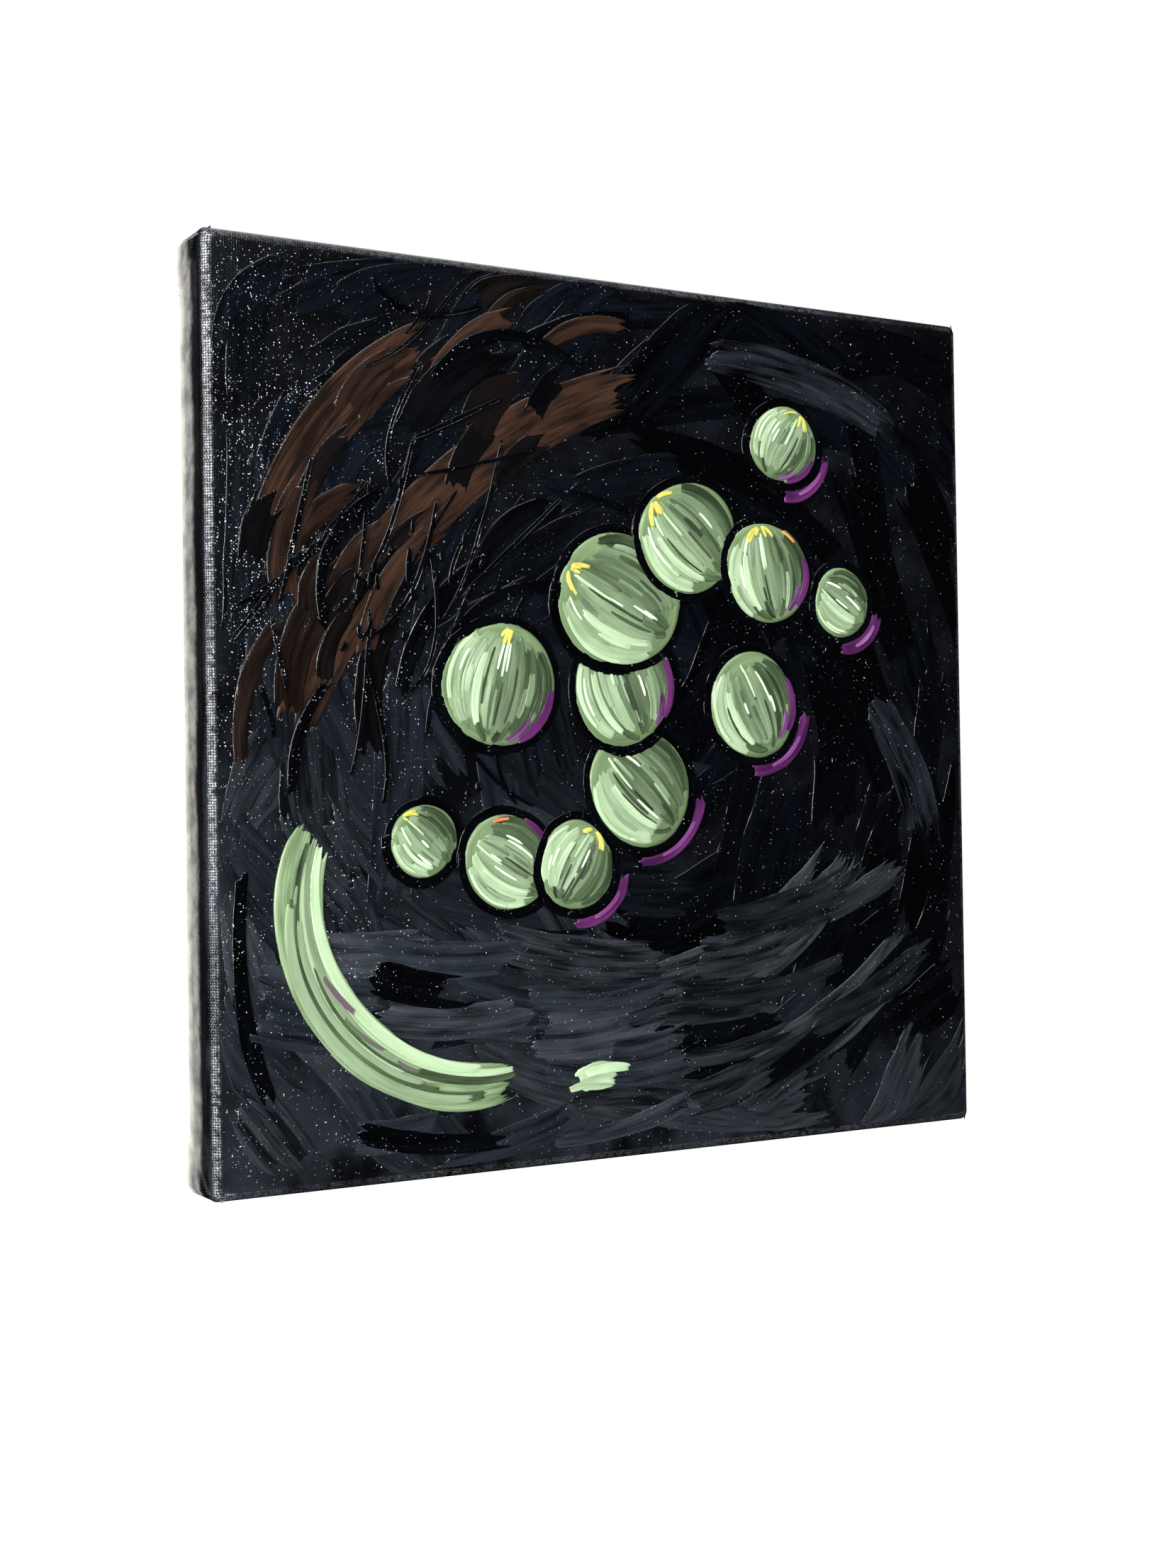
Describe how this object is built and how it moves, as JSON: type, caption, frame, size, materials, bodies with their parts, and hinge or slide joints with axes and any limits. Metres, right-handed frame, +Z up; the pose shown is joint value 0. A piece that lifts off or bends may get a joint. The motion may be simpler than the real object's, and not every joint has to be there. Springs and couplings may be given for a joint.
{
  "type": "stretched canvas painting",
  "caption": "Small square canvas painting stretched over pine bars, folded at the corners and stapled behind, with thick gloss paint in green rounds on a near-black ground.",
  "frame": {"origin": "nail rest: the middle of the top bar's underside, where the picture hangs on its nail", "axes": "+Z up; the painted face looks towards -Y; +X to the right as one faces the painting"},
  "size_m": [0.2556, 0.0205, 0.254],
  "materials": {
    "painted_canvas": "gloss acrylic paint over primed cotton canvas",
    "pine": "planed, bare",
    "key_wood": "sawn, bare",
    "staple_steel": "galvanised wire",
    "sage_paint": "thick gloss acrylic",
    "pale_green_paint": "thick gloss acrylic",
    "plum_paint": "thick gloss acrylic",
    "slate_paint": "thick gloss acrylic",
    "umber_paint": "thick gloss acrylic",
    "black_paint": "thick gloss acrylic"
  },
  "bodies": {
    "root": {"bar_bottom": "pine", "bar_left": "pine", "bar_right": "pine", "bar_top": "pine", "canvas": "painted_canvas", "key_bottom_a": "key_wood", "key_bottom_b": "key_wood", "key_left_a": "key_wood", "key_left_b": "key_wood", "key_right_a": "key_wood", "key_right_b": "key_wood", "key_top_a": "key_wood", "key_top_b": "key_wood", "paint_comma": "pale_green_paint", "paint_crescent_1": "plum_paint", "paint_crescent_2": "plum_paint", "paint_crescent_3": "plum_paint", "paint_crescent_4": "plum_paint", "paint_crescent_5": "plum_paint", "paint_ridge_1": "black_paint", "paint_ridge_2": "black_paint", "paint_ridge_3": "black_paint", "paint_round_1": "sage_paint", "paint_round_10": "sage_paint", "paint_round_11": "sage_paint", "paint_round_12": "sage_paint", "paint_round_2": "sage_paint", "paint_round_3": "sage_paint", "paint_round_4": "sage_paint", "paint_round_5": "sage_paint", "paint_round_6": "sage_paint", "paint_round_7": "sage_paint", "paint_round_8": "sage_paint", "paint_round_9": "sage_paint", "paint_slate_1": "slate_paint", "paint_slate_2": "slate_paint", "paint_slate_3": "slate_paint", "paint_slate_4": "slate_paint", "paint_umber_1": "umber_paint", "paint_umber_2": "umber_paint", "staple_bottom_1": "staple_steel", "staple_bottom_2": "staple_steel", "staple_bottom_3": "staple_steel", "staple_bottom_4": "staple_steel", "staple_left_1": "staple_steel", "staple_left_2": "staple_steel", "staple_left_3": "staple_steel", "staple_left_4": "staple_steel", "staple_left_5": "staple_steel", "staple_left_6": "staple_steel", "staple_right_1": "staple_steel", "staple_right_2": "staple_steel", "staple_right_3": "staple_steel", "staple_right_4": "staple_steel", "staple_right_5": "staple_steel", "staple_right_6": "staple_steel", "staple_top_1": "staple_steel", "staple_top_2": "staple_steel", "staple_top_3": "staple_steel", "staple_top_4": "staple_steel"}
  },
  "joints": []
}
